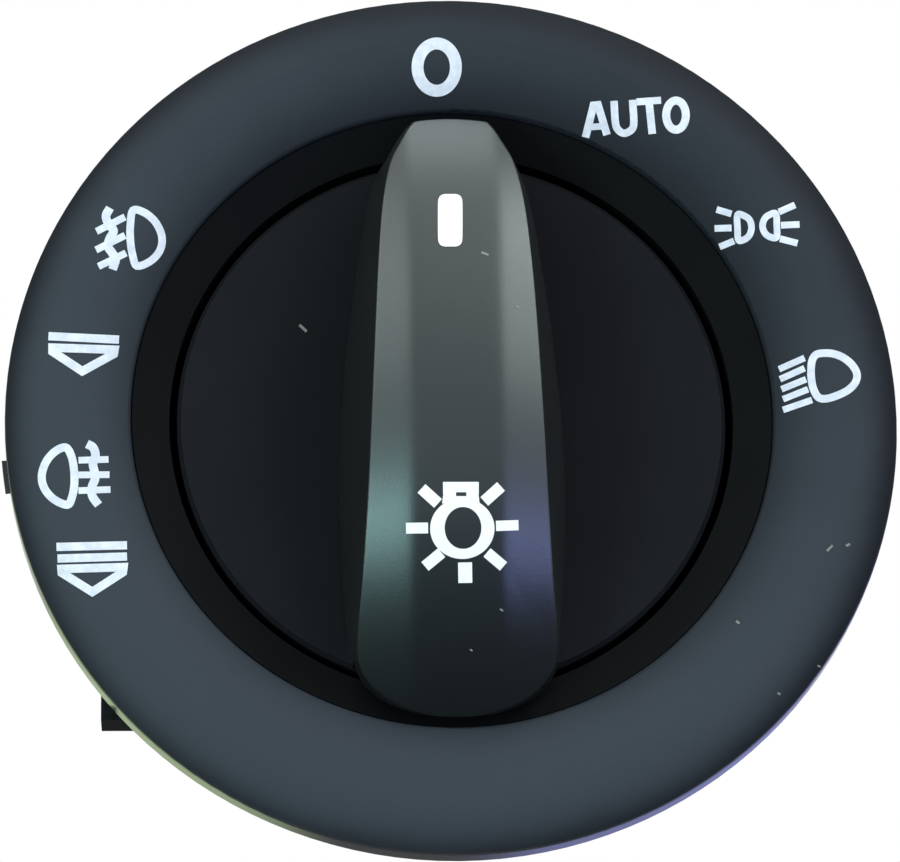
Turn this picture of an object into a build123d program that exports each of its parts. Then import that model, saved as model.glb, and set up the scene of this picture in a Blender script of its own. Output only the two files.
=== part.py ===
from build123d import *

import os
from math import asin, cos, degrees, radians, sin, tan

os.makedirs("parts", exist_ok=True)

# Rotary headlight switch for a dashboard. The knob turns through four light positions and
# pulls out to two fog-lamp stops. Lengths are in millimetres. The origin lies on the knob's
# axis in the plane where the bezel's rim rests on the panel. The driver looks along +Y, so a
# height is a distance in front of that plane and a depth is a distance behind it.

# Fits
turning_gap = 0.06
sliding_gap = 0.06
face_gap = 0.1
assembly_gap = 0.1
loose_gap = 0.3
cut_overrun = 1.0
full_turn = 360.0

# Panel that the switch is made for
rim_overlap = 2.0
panel_thickness = 3.0

# Bezel
bezel_width = 10.7
crown_ring_width = 6.2
rim_height = 2.0
crown_height = 5.0
opening_height = 3.5
opening_edge_radius = 0.5
bezel_wall = 1.8
bezel_foot_depth = 0.6
bezel_hook_angles = (70, 110, 250, 290)
bezel_hook_span = 13.0
bezel_hook_slot_span = 14.0
bezel_hook_reach = 0.8
bezel_hook_length = 1.1
rim_nub_reach = 0.4
rim_nub_angle = 187.0
rim_nub_span = 4.0

# Recess ring
recess_width = 3.15
recess_lip_height = 3.1
recess_foot_height = 1.4
disc_gap = 0.65
collar_wall = 1.3
collar_overlap = 1.0

# Knob disc
knob_radius = 23.4
knob_edge_height = 1.5
knob_edge_round = 0.35
dish_depth = 1.8
knob_back_depth = 1.8
skirt_wall = 1.5
skirt_depth = 8.0
boss_radius = 7.2
socket_floor_depth = 0.5

# Grip bar
grip_height = 15.0
crown_end_height = 5.2
lower_crown_radius = 36.0
lower_crown_start = 8.0
bow_reach = 45.0
lower_bow_reach = 72.0
facet_half_width = 3.75
bevel_angle = 16.0
grip_draft = 10.5
grip_wall = 1.8
grip_end_height = 4.1
grip_end_setback = 0.1
grip_shoulder_half_width = 7.1
grip_shoulder_setback = 4.4
grip_shoulder_round = 16.0
grip_waist_half_width = 9.55
grip_waist_z = -6.0
grip_foot_half_width = 8.7
grip_foot_reach = 0.1
grip_foot_round = 5.0
grip_foot_draft_share = 0.35
grip_top_half_width = 3.6
grip_top_inset_share = 0.65
grip_top_reach = 3.3
grip_bottom_reach = 3.8
grip_overrun = 0.5
pointer_offset = 14.4
pointer_width = 2.05
pointer_length = 5.2
symbol_offset = -12.3

# Spindle
spindle_width = 8.0
spindle_corner = 1.0
spindle_bore_radius = 2.2
journal_radius = 3.1
end_collar_radius = 4.6
end_collar_thickness = 1.2
light_rod_radius = 2.1
guide_bar_width = 2.4
guide_bar_thickness = 3.0
clip_pocket = 1.3
clip_leaf_width = 5.0
clip_leaf_thickness = 0.3

# Turning and pulling
detent_step = 28.0
detent_count = 4
pull_step = 3.5
pull_stops = 2
turn_range = detent_step * (detent_count - 1)
pull_travel = pull_step * pull_stops

# Housing
flange_thickness = 2.0
well_wall = 1.8
bulkhead_thickness = 2.0
box_side_margin = 2.1
box_height = 42.0
box_wall = 1.6
box_corner = 4.0
screw_x = 20.0
screw_z = 16.4
screw_boss_radius = 3.0
lug_thickness = 3.8
lug_inner_setback = 5.0
lug_corner_angle = 40.0
lug_corner_reach = 1.3
key_lug_corner_reach = 2.9
lug_width = 5.0
lug_angles = (40, 140, 220, 320)
lug_span = 14.0
key_lug_wing_width = 4.5
key_lug_wing_setback = 1.0
key_lug_wing_angle = 216.5
key_lug_wing_span = 11.0

# Rotor
rotor_neck_radius = 8.94
rotor_rim_radius = 15.0
rotor_flange_thickness = 3.0
rotor_hub_radius = 7.2
rotor_hub_length = 1.6
rotor_clip_thickness = 0.8
rotor_clip_radius = 10.4
rotor_clip_span = 300.0
rotor_clip_setback = 0.7
rotor_groove_depth = 0.7
stop_lug_height = 2.0
stop_lug_angle = 270.0
stop_lug_span = 10.0
stop_rib_span = 7.0
stop_rib_reach = 1.0
stop_gap_angle = 1.5
notch_radius = 2.0
notch_centre_offset = 0.6

# Rotary detent spring
leaf_thickness = 0.4
leaf_width = 2.2
leaf_half_length = 12.3
leaf_seat_height = 18.2
leaf_half_angle = 36.0
leaf_post_width = 3.0
leaf_bend_radius = 1.0
notch_seat_gap = 0.2

# Circuit board and what it carries
board_thickness = 1.6
wiper_space = 2.6
track_thickness = 0.1
track_radii = (9.1, 10.9, 12.7)
track_width = 1.0
led_length = 3.2
led_width = 1.6
led_height = 1.2
track_lead = 12.0
board_hole_radius = 6.2

# Light guide ring
guide_thickness = 1.4
guide_top_height = 1.9
guide_rib_width = 2.0
leg_thickness = 1.3
leg_width = 3.4
leg_z = 15.0

# Rear cover with tower and socket
cover_thickness = 2.0
cover_lip_wall = 1.2
cover_lip_height = 1.4
post_length = 3.4
tower_half_width = 7.6
tower_floor_z = -7.1
tower_roof_z = 9.6
tower_wall = 1.5
socket_x = 19.2
socket_width = 10.0
socket_height = 24.0
socket_wall = 1.5
socket_depth = 13.5
latch_start = 4.0
latch_length = 4.0
latch_height = 1.2
latch_width = 6.0
leaf_slot_depth = 1.1
strip_length = 13.0

# Terminals
pin_rows = 5
pin_row_pitch = 4.6
pin_column_pitch = 3.8
pin_width = 1.5
pin_thickness = 0.64
pin_reach = 8.5
pin_tail = 0.6
pin_chamfer = 0.16

# Pull carriage
carriage_gap = 0.6
carriage_thickness = 5.0
carriage_top_z = 7.0
rail_half_width = 3.0
rail_thickness = 2.0
pull_notch_radius = 1.2
pull_notch_offset = 0.3
nose_setback = 1.0
rail_end_land = 1.2
wiper_pocket = 1.0
pull_leaf_thickness = 0.3
pull_leaf_width = 5.0
pull_leaf_z = 8.9
pull_half_angle = 38.0
pull_bend_radius = 0.6

# Wipers and strips
wiper_thickness = 0.3
finger_thickness = 0.2
finger_width = 0.9
finger_length = 4.0
contact_gap = 0.05
strip_thickness = 0.35
strip_width = 1.4
strip_pitch = 3.4
pull_wiper_width = 4.4
pull_wiper_height = 9.2
pull_wiper_border = 0.9
pull_finger_end = 1.5

# Screws
screw_radius = 1.25
screw_head_radius = 2.3
screw_head_height = 1.5
screw_grip = 5.0
screw_slot_length = 3.2
screw_slot_width = 0.6

# Panel clips
clip_thickness = 0.5
clip_width = 5.0
clip_angles = (126.0, -54.0)
clip_overlap = 1.3
clip_pad = 1.0
clip_pad_span = 15.0
clip_front = 4.0
clip_tip_depth = 5.2
clip_lead_in = 1.2

# Stations along the axis, as depths behind the panel seat
flange_front = bezel_foot_depth
flange_back = flange_front + flange_thickness
collar_back = skirt_depth + collar_overlap
neck_front = skirt_depth + carriage_gap
rotor_clip_front = neck_front + rotor_clip_setback
bulkhead_front = rotor_clip_front + rotor_clip_thickness + face_gap
bulkhead_back = bulkhead_front + bulkhead_thickness
rotor_front = bulkhead_back + face_gap
rotor_back = rotor_front + rotor_flange_thickness
board_front = rotor_back + wiper_space + track_thickness
board_back = board_front + board_thickness
cover_front = board_back + post_length
cover_back = cover_front + cover_thickness
carriage_front = board_back + pull_travel + carriage_gap
carriage_back = carriage_front + carriage_thickness
journal_front = carriage_front - face_gap
collar_front = carriage_back + face_gap
spindle_back = collar_front + end_collar_thickness
spindle_front = socket_floor_depth + face_gap
pull_nose_depth = carriage_front + nose_setback
rail_back = pull_nose_depth + pull_travel + rail_end_land
tower_end = rail_back + carriage_gap
tower_back = tower_end + box_wall
socket_back = cover_back + socket_depth
pin_tip = cover_back + pin_reach
lug_front = panel_thickness + assembly_gap
lug_back = lug_front + lug_thickness
leaf_front = rotor_front + 2 * face_gap
leaf_back = leaf_front + leaf_width
finger_tip_depth = board_front - track_thickness - finger_thickness / 2 - contact_gap

# Radii, from the knob outwards
well_radius = knob_radius + disc_gap
collar_radius = well_radius + collar_wall
recess_radius = well_radius + recess_width
opening_radius = recess_radius + assembly_gap
crown_ring_radius = opening_radius + crown_ring_width
bezel_radius = opening_radius + bezel_width
bezel_boss_radius = opening_radius + bezel_wall
bezel_skin_radius = bezel_radius - bezel_wall
cutout_radius = bezel_radius - rim_overlap
flange_radius = cutout_radius - loose_gap
lug_inner_radius = cutout_radius - lug_inner_setback
key_lug_wing_radius = bezel_radius - key_lug_wing_setback
clip_reach = cutout_radius + clip_overlap
guide_rib_radius = crown_ring_radius - guide_rib_width
housing_well_radius = collar_radius + assembly_gap
housing_tube_radius = housing_well_radius + well_wall
bearing_radius = rotor_neck_radius + turning_gap
guide_inner_radius = bezel_boss_radius + assembly_gap
guide_outer_radius = bezel_skin_radius - loose_gap
rotor_groove_radius = rotor_neck_radius - rotor_groove_depth
stop_lug_radius = rotor_rim_radius + stop_lug_height
bore_half_width = spindle_width / 2 + sliding_gap

# Grip plan, from the disc's edge outwards
grip_shoulder_z = knob_radius - grip_shoulder_setback
grip_top_z = knob_radius + grip_top_reach
grip_foot_z = -knob_radius - grip_foot_reach
grip_bottom_z = -knob_radius - grip_bottom_reach
crown_drop = grip_height - crown_end_height
crown_radius = (grip_top_z**2 + crown_drop**2) / (2 * crown_drop)

# Box, lugs and legs, which follow the opening and the cut-out
box_width = 2 * (opening_radius + box_side_margin)
leg_x = box_width / 2 - box_wall - loose_gap - leg_thickness / 2
led_x = leg_x - leg_thickness / 2
lug_reach_x = (cutout_radius + lug_corner_reach) * cos(radians(lug_corner_angle))
lug_reach_z = (cutout_radius + lug_corner_reach) * sin(radians(lug_corner_angle))
key_lug_reach_x = (cutout_radius + key_lug_corner_reach) * cos(radians(lug_corner_angle))
key_lug_reach_z = (cutout_radius + key_lug_corner_reach) * sin(radians(lug_corner_angle))
lip_width = box_width - 2 * box_wall - 2 * assembly_gap
lip_height = box_height - 2 * box_wall - 2 * assembly_gap
carriage_half_width = tower_half_width - sliding_gap
carriage_bottom_z = tower_floor_z + sliding_gap
screw_clearance_radius = screw_radius + assembly_gap
clip_seat_radius = housing_tube_radius


def facing_driver(depth):
    """The plane square to the axis at this depth, seen as the driver sees it."""
    return Plane.XZ.offset(-depth)


def ring_sector(inner, outer, front, back, middle, span):
    """A piece of a ring between two depths. Its angle runs anticlockwise from +X."""
    with BuildPart() as piece:
        with BuildSketch(Plane.XY.rotated((0, -(middle + span / 2), 0))):
            with Locations(((inner + outer) / 2, (front + back) / 2)):
                Rectangle(outer - inner, back - front)
        revolve(axis=Axis.Y, revolution_arc=span)
    return piece.part


def nose_vertex(bottom, half_angle, bend_radius, thickness):
    """Where the two flanks of a leaf's nose meet, for a bent nose that reaches down to bottom."""
    return bottom + thickness / 2 - bend_radius * (1 / sin(radians(half_angle)) - 1)


# Bezel: one hollow moulding. Its face rises from the rim to a crown and falls to the opening.
with BuildPart() as bezel:
    with BuildSketch(Plane.XY) as bezel_section:
        with BuildLine():
            EllipticalCenterArc(
                (crown_ring_radius, -rim_height),
                bezel_radius - crown_ring_radius,
                crown_height - rim_height,
                start_angle=270,
                arc_size=90,
            )
            TangentArc(
                (crown_ring_radius, -crown_height),
                (opening_radius, -opening_height),
                tangent=(-1, 0),
            )
            Polyline(
                (opening_radius, -opening_height),
                (opening_radius, bezel_foot_depth),
                (bezel_boss_radius, bezel_foot_depth),
                (bezel_boss_radius, -opening_height + bezel_wall / 2),
                (crown_ring_radius, -crown_height + bezel_wall),
                (bezel_skin_radius, -rim_height),
                (bezel_skin_radius, 0),
                (bezel_radius, 0),
                (bezel_radius, -rim_height),
            )
        make_face()
        lip = bezel_section.vertices().sort_by_distance((opening_radius, -opening_height, 0))[0]
        fillet(lip, opening_edge_radius)
    revolve(axis=Axis.Y)
    add(
        ring_sector(
            bezel_radius - bezel_wall / 2,
            bezel_radius + rim_nub_reach,
            -rim_height / 2,
            0,
            rim_nub_angle,
            rim_nub_span,
        )
    )
    for hook_angle in bezel_hook_angles:
        add(
            ring_sector(
                opening_radius + loose_gap,
                bezel_boss_radius - loose_gap,
                0,
                flange_back + bezel_hook_length,
                hook_angle,
                bezel_hook_span,
            )
        )
        add(
            ring_sector(
                bezel_boss_radius - bezel_wall / 2,
                bezel_boss_radius - loose_gap + bezel_hook_reach,
                flange_back + face_gap,
                flange_back + bezel_hook_length,
                hook_angle,
                bezel_hook_span,
            )
        )

# Recess ring: the dark slope inside the opening and the collar that guides the knob's skirt.
with BuildPart() as recess_ring:
    with BuildSketch(Plane.XY):
        Polygon(
            (recess_radius, -recess_lip_height),
            (well_radius, -recess_foot_height),
            (well_radius, collar_back),
            (collar_radius, collar_back),
            (collar_radius, flange_front),
            (recess_radius, flange_front),
            align=None,
        )
    revolve(axis=Axis.Y)

# Light guide ring: clear ring behind the pictograms, with legs that reach down to the lamps.
with BuildPart() as light_guide_ring:
    with BuildSketch(facing_driver(-guide_top_height)):
        Circle(guide_outer_radius)
        Circle(guide_inner_radius, mode=Mode.SUBTRACT)
    extrude(amount=-guide_thickness)
    with BuildSketch(facing_driver(-guide_top_height)):
        with GridLocations(2 * leg_x, 2 * leg_z, 2, 2):
            Rectangle(leg_thickness, leg_width)
    extrude(amount=-(guide_top_height + board_front - led_height - loose_gap))

# Front housing: flange, round well, bulkhead with the bearing, rectangular box and lugs.
with BuildPart() as front_housing:
    with BuildSketch(facing_driver(flange_front)):
        Circle(flange_radius)
    extrude(amount=-flange_thickness)
    with BuildSketch(facing_driver(flange_back)):
        RectangleRounded(box_width, box_height, box_corner)
    extrude(amount=-(cover_front - flange_back))
    with BuildSketch(facing_driver(flange_back)):
        RectangleRounded(
            box_width - 2 * box_wall, box_height - 2 * box_wall, box_corner - box_wall
        )
    extrude(amount=-(cover_front - flange_back), mode=Mode.SUBTRACT)
    with BuildSketch(facing_driver(flange_back)):
        Circle(housing_tube_radius)
    extrude(amount=-(bulkhead_back - flange_back))
    with BuildSketch(facing_driver(flange_front)):
        Circle(housing_well_radius)
    extrude(amount=-(bulkhead_front - flange_front), mode=Mode.SUBTRACT)
    with BuildSketch(facing_driver(bulkhead_front)):
        with GridLocations(2 * screw_x, 2 * screw_z, 2, 2):
            Circle(screw_boss_radius)
    extrude(amount=-(board_front - bulkhead_front))
    with BuildSketch(facing_driver(board_front)):
        with GridLocations(2 * screw_x, 2 * screw_z, 2, 2):
            Circle(screw_radius)
    extrude(amount=screw_grip, mode=Mode.SUBTRACT)
    with BuildSketch(facing_driver(bulkhead_front)):
        Circle(bearing_radius)
    extrude(amount=-bulkhead_thickness, mode=Mode.SUBTRACT)
    for hook_angle in bezel_hook_angles:
        add(
            ring_sector(
                opening_radius + assembly_gap,
                bezel_boss_radius + bezel_hook_reach,
                flange_front - cut_overrun,
                flange_back + cut_overrun,
                hook_angle,
                bezel_hook_slot_span,
            ),
            mode=Mode.SUBTRACT,
        )
    with BuildSketch(facing_driver(flange_front)):
        Circle(guide_rib_radius + guide_rib_width / 2)
        Circle(guide_rib_radius - guide_rib_width / 2, mode=Mode.SUBTRACT)
    extrude(amount=flange_front + guide_top_height - guide_thickness)
    with BuildSketch(facing_driver(-guide_top_height)):
        with GridLocations(2 * leg_x, 2 * leg_z, 2, 2):
            Rectangle(leg_thickness + 2 * assembly_gap, leg_width + 2 * assembly_gap)
    extrude(amount=-(guide_top_height + flange_back), mode=Mode.SUBTRACT)
    with BuildSketch(facing_driver(lug_front)):
        for side_x, side_z in ((-1, 1), (1, 1), (1, -1)):
            lug_centre_x = side_x * (lug_reach_x - lug_width / 2)
            lug_centre_z = side_z * (lug_reach_z - lug_width / 2)
            with Locations((lug_centre_x, lug_centre_z)):
                Rectangle(lug_width, lug_width)
        with Locations((-key_lug_reach_x + lug_width / 2, -key_lug_reach_z + lug_width / 2)):
            Rectangle(lug_width, lug_width)
    extrude(amount=-lug_thickness)
    for lug_angle in lug_angles:
        add(
            ring_sector(
                lug_inner_radius,
                flange_radius - face_gap,
                flange_back - flange_thickness / 2,
                lug_back - face_gap,
                lug_angle,
                lug_span,
            )
        )
    add(
        ring_sector(
            key_lug_wing_radius - key_lug_wing_width,
            key_lug_wing_radius,
            lug_front,
            lug_back,
            key_lug_wing_angle,
            key_lug_wing_span,
        )
    )
    for angle in clip_angles:
        add(
            ring_sector(
                housing_well_radius + well_wall / 2,
                housing_tube_radius + clip_pad,
                clip_front,
                bulkhead_back,
                angle,
                clip_pad_span,
            )
        )
        with BuildSketch(facing_driver(clip_front).rotated((0, -angle, 0))):
            with Locations((clip_seat_radius + clip_pad, 0)):
                Rectangle(2 * clip_pad, clip_width + 2 * assembly_gap)
        extrude(amount=-(bulkhead_back - clip_front), mode=Mode.SUBTRACT)
    for rib_angle in (
        stop_lug_angle + stop_lug_span / 2 + stop_gap_angle + stop_rib_span / 2,
        stop_lug_angle - turn_range - stop_lug_span / 2 - stop_gap_angle - stop_rib_span / 2,
    ):
        add(
            ring_sector(
                rotor_rim_radius + loose_gap,
                stop_lug_radius + stop_rib_reach,
                bulkhead_back - cut_overrun,
                rotor_back,
                rib_angle,
                stop_rib_span,
            )
        )
    with BuildSketch(facing_driver(bulkhead_back)):
        for side in (-1, 1):
            with Locations((side * leaf_half_length, leaf_seat_height)):
                Rectangle(leaf_post_width, box_height - box_wall - 2 * leaf_seat_height)
    extrude(amount=-(leaf_back - bulkhead_back))
    with BuildSketch(facing_driver(bulkhead_back)):
        with Locations((0, leaf_seat_height)):
            Rectangle(2 * leaf_half_length + 2 * assembly_gap, leaf_thickness + 2 * assembly_gap)
    extrude(amount=-(leaf_back - bulkhead_back), mode=Mode.SUBTRACT)

# Rotor: turned by the spindle's square, with detent notches and a stop lug on its rim.
with BuildPart() as rotor:
    with BuildSketch(facing_driver(neck_front)):
        Circle(rotor_neck_radius)
    extrude(amount=-(rotor_front - neck_front))
    with BuildSketch(facing_driver(rotor_front)):
        Circle(rotor_rim_radius)
        with PolarLocations(
            rotor_rim_radius + notch_centre_offset,
            detent_count,
            start_angle=90,
            angular_range=detent_step * detent_count,
        ):
            Circle(notch_radius, mode=Mode.SUBTRACT)
    extrude(amount=-rotor_flange_thickness)
    with BuildSketch(facing_driver(rotor_back)):
        Circle(rotor_hub_radius)
    extrude(amount=-rotor_hub_length)
    add(
        ring_sector(
            rotor_rim_radius - cut_overrun,
            stop_lug_radius,
            rotor_front,
            rotor_back,
            stop_lug_angle,
            stop_lug_span,
        )
    )
    add(
        ring_sector(
            rotor_groove_radius,
            rotor_neck_radius + cut_overrun,
            rotor_clip_front - face_gap / 2,
            rotor_clip_front + rotor_clip_thickness + face_gap / 2,
            0,
            full_turn,
        ),
        mode=Mode.SUBTRACT,
    )
    with BuildSketch(facing_driver(neck_front)):
        RectangleRounded(2 * bore_half_width, 2 * bore_half_width, spindle_corner)
    extrude(amount=-(rotor_back + rotor_hub_length - neck_front), mode=Mode.SUBTRACT)

# Rotor clip: flat snap ring in the groove of the rotor's neck, in front of the bulkhead.
with BuildPart() as rotor_clip:
    add(
        ring_sector(
            rotor_groove_radius + turning_gap,
            rotor_clip_radius,
            rotor_clip_front,
            rotor_clip_front + rotor_clip_thickness,
            0,
            rotor_clip_span,
        )
    )

# Contact wiper: thin ring on the rotor's rear face with three fingers bent back to the tracks.
with BuildPart() as contact_wiper:
    with BuildSketch(facing_driver(rotor_back)):
        Circle(track_radii[-1] + track_width)
        Circle(rotor_hub_radius + assembly_gap, mode=Mode.SUBTRACT)
    extrude(amount=-wiper_thickness)
    for radius in track_radii:
        with BuildSketch(Plane.YZ.offset(radius)):
            with BuildLine() as finger_line:
                FilletPolyline(
                    (rotor_back + wiper_thickness / 2, -finger_length),
                    (rotor_back + wiper_thickness, -finger_length / 2),
                    (finger_tip_depth, finger_length / 2),
                    (rotor_back + wiper_space / 2, finger_length),
                    radius=finger_thickness * 2,
                )
            trace(finger_line.line, line_width=finger_thickness)
        extrude(amount=finger_width / 2, both=True)

# Detent spring: bent leaf across the top of the box. Its nose drops into the rotor's notches.
notch_bottom = rotor_rim_radius + notch_centre_offset - notch_radius
leaf_vertex_z = nose_vertex(
    notch_bottom + notch_seat_gap, leaf_half_angle, leaf_bend_radius, leaf_thickness
)
leaf_nose_half_width = (leaf_seat_height - leaf_vertex_z) * tan(radians(leaf_half_angle))
with BuildPart() as detent_spring:
    with BuildSketch(facing_driver(leaf_front)):
        with BuildLine() as leaf_line:
            FilletPolyline(
                (-leaf_half_length, leaf_seat_height),
                (-leaf_nose_half_width, leaf_seat_height),
                (0, leaf_vertex_z),
                (leaf_nose_half_width, leaf_seat_height),
                (leaf_half_length, leaf_seat_height),
                radius=leaf_bend_radius,
            )
        trace(leaf_line.line, line_width=leaf_thickness)
    extrude(amount=-leaf_width)

# Circuit board: carries tracks, lamps and pins. The spindle passes through its centre hole.
with BuildPart() as circuit_board:
    with BuildSketch(facing_driver(board_front)):
        RectangleRounded(
            box_width - 2 * box_wall - 2 * loose_gap,
            box_height - 2 * box_wall - 2 * loose_gap,
            box_corner - box_wall,
        )
        Circle(board_hole_radius, mode=Mode.SUBTRACT)
        with GridLocations(2 * screw_x, 2 * screw_z, 2, 2):
            Circle(screw_clearance_radius, mode=Mode.SUBTRACT)
        with Locations((socket_x, 0)):
            with GridLocations(pin_column_pitch, pin_row_pitch, 2, pin_rows):
                Rectangle(
                    pin_thickness + sliding_gap, pin_width + sliding_gap, mode=Mode.SUBTRACT
                )
    extrude(amount=-board_thickness)

# Contact tracks: plated arcs on the board's front. Outer ones begin at later light positions.
with BuildPart() as contact_tracks:
    for order, radius in enumerate(track_radii):
        track_start = track_lead - order * detent_step
        track_end = -turn_range - track_lead
        add(
            ring_sector(
                radius - track_width / 2,
                radius + track_width / 2,
                board_front - track_thickness,
                board_front,
                (track_start + track_end) / 2,
                track_start - track_end,
            )
        )

# Lamps: one under each leg of the light guide.
with BuildPart() as leds:
    with BuildSketch(facing_driver(board_front)):
        with GridLocations(2 * led_x, 2 * leg_z, 2, 2):
            Rectangle(led_width, led_length)
    extrude(amount=led_height)

# Terminal pins: flat blades from the board into the socket.
with BuildPart() as terminal_pins:
    with BuildSketch(facing_driver(board_front - pin_tail)):
        with Locations((socket_x, 0)):
            with GridLocations(pin_column_pitch, pin_row_pitch, 2, pin_rows):
                Rectangle(pin_thickness, pin_width)
    extrude(amount=-(pin_tip - board_front + pin_tail))
    tips = terminal_pins.faces().filter_by(Axis.Y).group_by(Axis.Y)[-1]
    chamfer(tips.edges().filter_by(Axis.Z), pin_chamfer)

# Rear cover: plate with lip and posts, the tower of the pull mechanism and the socket.
with BuildPart() as rear_cover:
    with BuildSketch(facing_driver(cover_front)):
        RectangleRounded(box_width, box_height, box_corner)
    extrude(amount=-cover_thickness)
    with BuildSketch(facing_driver(cover_front)):
        RectangleRounded(lip_width, lip_height, box_corner - box_wall)
        RectangleRounded(
            lip_width - 2 * cover_lip_wall,
            lip_height - 2 * cover_lip_wall,
            box_corner - box_wall - cover_lip_wall,
            mode=Mode.SUBTRACT,
        )
    extrude(amount=cover_lip_height)
    with BuildSketch(facing_driver(cover_front)):
        with GridLocations(2 * screw_x, 2 * screw_z, 2, 2):
            Circle(screw_boss_radius - 2 * assembly_gap)
    extrude(amount=post_length)
    with BuildSketch(facing_driver(board_back + loose_gap)):
        with Locations((0, (tower_roof_z + tower_floor_z) / 2)):
            Rectangle(
                2 * (tower_half_width + tower_wall),
                tower_roof_z - tower_floor_z + 2 * tower_wall,
            )
    extrude(amount=-(tower_back - board_back - loose_gap))
    with BuildSketch(facing_driver(cover_back)):
        with Locations((socket_x, 0)):
            RectangleRounded(
                socket_width + 2 * socket_wall, socket_height + 2 * socket_wall, socket_wall
            )
    extrude(amount=-socket_depth)
    with BuildSketch(facing_driver(cover_back)):
        with Locations((socket_x, 0)):
            Rectangle(socket_width, socket_height)
    extrude(amount=-socket_depth, mode=Mode.SUBTRACT)
    with BuildSketch(facing_driver(board_back + loose_gap)):
        with Locations((0, (tower_roof_z + tower_floor_z) / 2)):
            Rectangle(2 * tower_half_width, tower_roof_z - tower_floor_z)
    extrude(amount=-(tower_end - board_back - loose_gap), mode=Mode.SUBTRACT)
    with BuildSketch(facing_driver(tower_end)):
        with Locations((0, pull_leaf_z)):
            Rectangle(
                pull_leaf_width + 2 * assembly_gap, pull_leaf_thickness + 2 * assembly_gap
            )
    extrude(amount=-leaf_slot_depth, mode=Mode.SUBTRACT)
    with BuildSketch(facing_driver(board_back + loose_gap)):
        with Locations((-tower_half_width - strip_thickness / 2, 0)):
            with GridLocations(0, strip_pitch, 1, 3):
                Rectangle(
                    strip_thickness + 2 * assembly_gap, strip_width + 2 * assembly_gap
                )
    extrude(amount=-(strip_length + assembly_gap), mode=Mode.SUBTRACT)
    with BuildSketch(facing_driver(cover_front)):
        with Locations((socket_x, 0)):
            with GridLocations(pin_column_pitch, pin_row_pitch, 2, pin_rows):
                Rectangle(pin_thickness + sliding_gap, pin_width + sliding_gap)
    extrude(amount=-cover_thickness, mode=Mode.SUBTRACT)
    with BuildSketch(facing_driver(board_back)):
        with GridLocations(2 * screw_x, 2 * screw_z, 2, 2):
            Circle(screw_clearance_radius)
    extrude(amount=-(cover_back - board_back), mode=Mode.SUBTRACT)
    with BuildSketch(facing_driver(cover_back + latch_start)):
        with Locations((socket_x + socket_width / 2 + socket_wall, 0)):
            Rectangle(2 * latch_height, latch_width)
    extrude(amount=-latch_length)

# Screws: pan heads with a cross recess, from the cover through the board into the housing.
with BuildPart() as cover_screws:
    with BuildSketch(facing_driver(cover_back)):
        with GridLocations(2 * screw_x, 2 * screw_z, 2, 2):
            Circle(screw_radius)
    extrude(amount=cover_back - board_front + screw_grip - cut_overrun)
    with BuildSketch(facing_driver(cover_back)):
        with GridLocations(2 * screw_x, 2 * screw_z, 2, 2):
            Circle(screw_head_radius)
    extrude(amount=-screw_head_height)
    head_rims = cover_screws.faces().filter_by(Axis.Y).group_by(Axis.Y)[-1].edges()
    fillet(head_rims, screw_head_height / 2)
    with BuildSketch(facing_driver(cover_back + screw_head_height)):
        with GridLocations(2 * screw_x, 2 * screw_z, 2, 2):
            Rectangle(screw_slot_length, screw_slot_width)
            Rectangle(screw_slot_width, screw_slot_length)
    extrude(amount=screw_head_height / 2, mode=Mode.SUBTRACT)

# Pull contacts: three strips let into the tower's left wall.
with BuildPart() as pull_contacts:
    with BuildSketch(facing_driver(board_back + loose_gap)):
        with Locations((-tower_half_width - strip_thickness / 2, 0)):
            with GridLocations(0, strip_pitch, 1, 3):
                Rectangle(strip_thickness, strip_width)
    extrude(amount=-strip_length)

# Pull detent spring: leaf held in the tower's rear wall. Its nose drops into the carriage.
pull_notch_bottom = carriage_top_z + pull_notch_offset - pull_notch_radius
pull_vertex_z = nose_vertex(
    pull_notch_bottom + notch_seat_gap, pull_half_angle, pull_bend_radius, pull_leaf_thickness
)
pull_nose_half_width = (pull_leaf_z - pull_vertex_z) * tan(radians(pull_half_angle))
with BuildPart() as pull_detent_spring:
    with BuildSketch(Plane.YZ):
        with BuildLine() as pull_leaf_line:
            FilletPolyline(
                (tower_end + leaf_slot_depth - assembly_gap, pull_leaf_z),
                (pull_nose_depth + pull_nose_half_width, pull_leaf_z),
                (pull_nose_depth, pull_vertex_z),
                (pull_nose_depth - pull_nose_half_width, pull_leaf_z),
                radius=pull_bend_radius,
            )
        trace(pull_leaf_line.line, line_width=pull_leaf_thickness)
    extrude(amount=pull_leaf_width / 2, both=True)

# Pull carriage: fork around the spindle's journal, with a notched rail on top.
with BuildPart() as pull_carriage:
    with BuildSketch(facing_driver(carriage_front)):
        with Locations((0, (carriage_top_z + carriage_bottom_z) / 2)):
            Rectangle(2 * carriage_half_width, carriage_top_z - carriage_bottom_z)
        Circle(journal_radius + turning_gap, mode=Mode.SUBTRACT)
        with Locations((0, carriage_bottom_z / 2)):
            Rectangle(
                2 * (journal_radius + turning_gap), -carriage_bottom_z, mode=Mode.SUBTRACT
            )
        with Locations((-carriage_half_width + wiper_pocket / 2, 0)):
            Rectangle(wiper_pocket, pull_wiper_height + 2 * loose_gap, mode=Mode.SUBTRACT)
    extrude(amount=-carriage_thickness)
    with BuildSketch(facing_driver(carriage_front)):
        with Locations((0, carriage_top_z - rail_thickness / 2)):
            Rectangle(2 * rail_half_width, rail_thickness)
    extrude(amount=-(rail_back - carriage_front))
    with BuildSketch(Plane.YZ):
        for stop in range(pull_stops + 1):
            with Locations(
                (pull_nose_depth + stop * pull_step, carriage_top_z + pull_notch_offset)
            ):
                Circle(pull_notch_radius)
    extrude(amount=rail_half_width, both=True, mode=Mode.SUBTRACT)

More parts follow.
